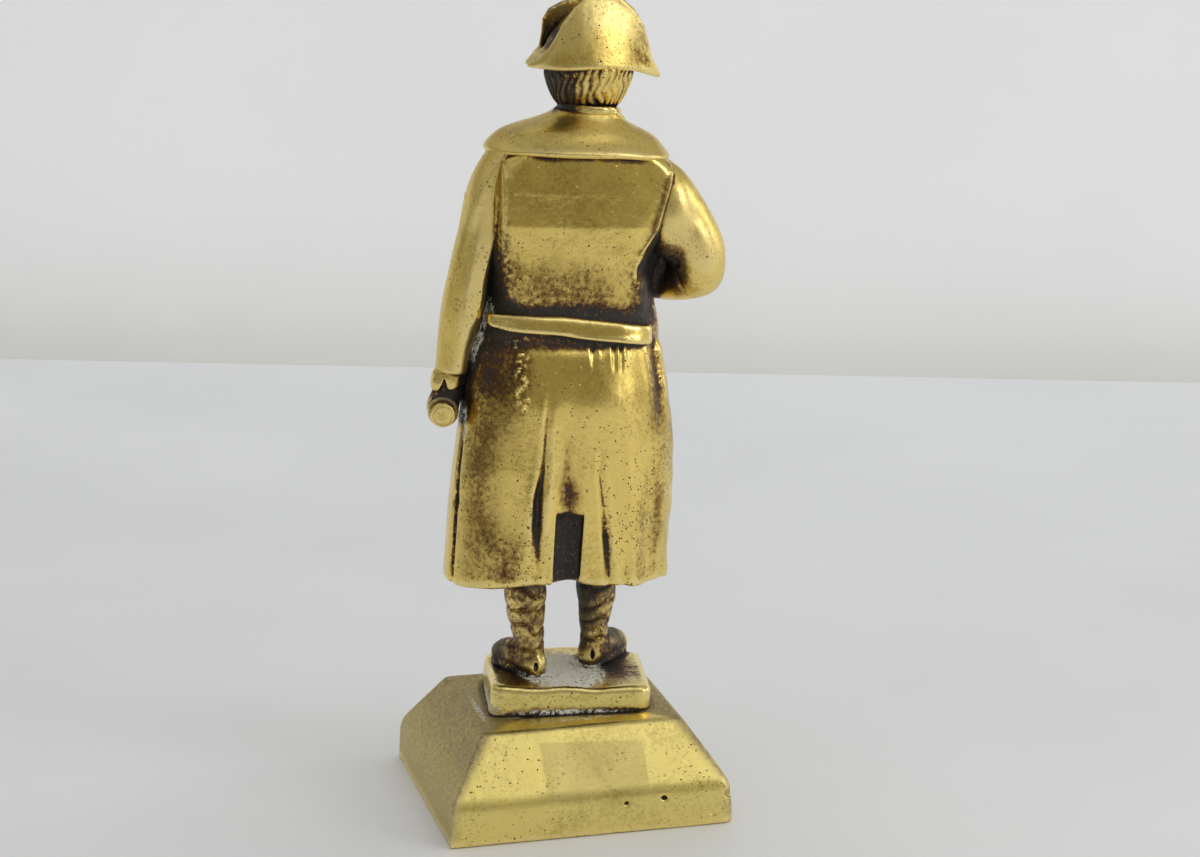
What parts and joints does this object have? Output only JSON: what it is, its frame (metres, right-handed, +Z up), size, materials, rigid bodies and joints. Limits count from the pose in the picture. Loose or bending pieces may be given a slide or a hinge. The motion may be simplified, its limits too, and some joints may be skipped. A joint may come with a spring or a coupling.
{
  "type": "souvenir figurine",
  "caption": "Cast-brass figurine of a standing officer in a bicorne hat and open greatcoat, on a plinth screwed to a hollow, four-sided tapered pedestal.",
  "frame": {"origin": "in the plane of the pedestal's underside, in the middle of the figurine's outline from above; the pedestal's own axis is 2.1 mm to +X of it, because the right elbow reaches out past the pedestal", "axes": "+Z up, the figure faces -Y, and its left hand is at +X"},
  "size_m": [0.0479, 0.0424, 0.1265],
  "materials": {
    "polished_brass": "polished, worn",
    "aged_brass": "cast, with dark patina in the hollows",
    "brass_pin": "drawn",
    "steel": "turned"
  },
  "bodies": {
    "root": {"pedestal": "polished_brass", "plinth": "aged_brass", "fixing_screw": "steel", "screw_washer": "steel", "left_boot": "aged_brass", "right_boot": "aged_brass", "uniform_body": "aged_brass", "greatcoat": "aged_brass", "half_belt": "aged_brass", "shoulder_collar": "aged_brass", "stand_collar": "aged_brass", "head": "aged_brass", "hat": "aged_brass", "left_sleeve": "aged_brass", "left_cuff": "aged_brass", "left_hand": "aged_brass", "right_sleeve": "aged_brass", "right_hand": "aged_brass", "spyglass": "aged_brass", "neck_dowel": "brass_pin", "left_arm_dowel": "brass_pin", "right_arm_dowel": "brass_pin"}
  },
  "joints": []
}
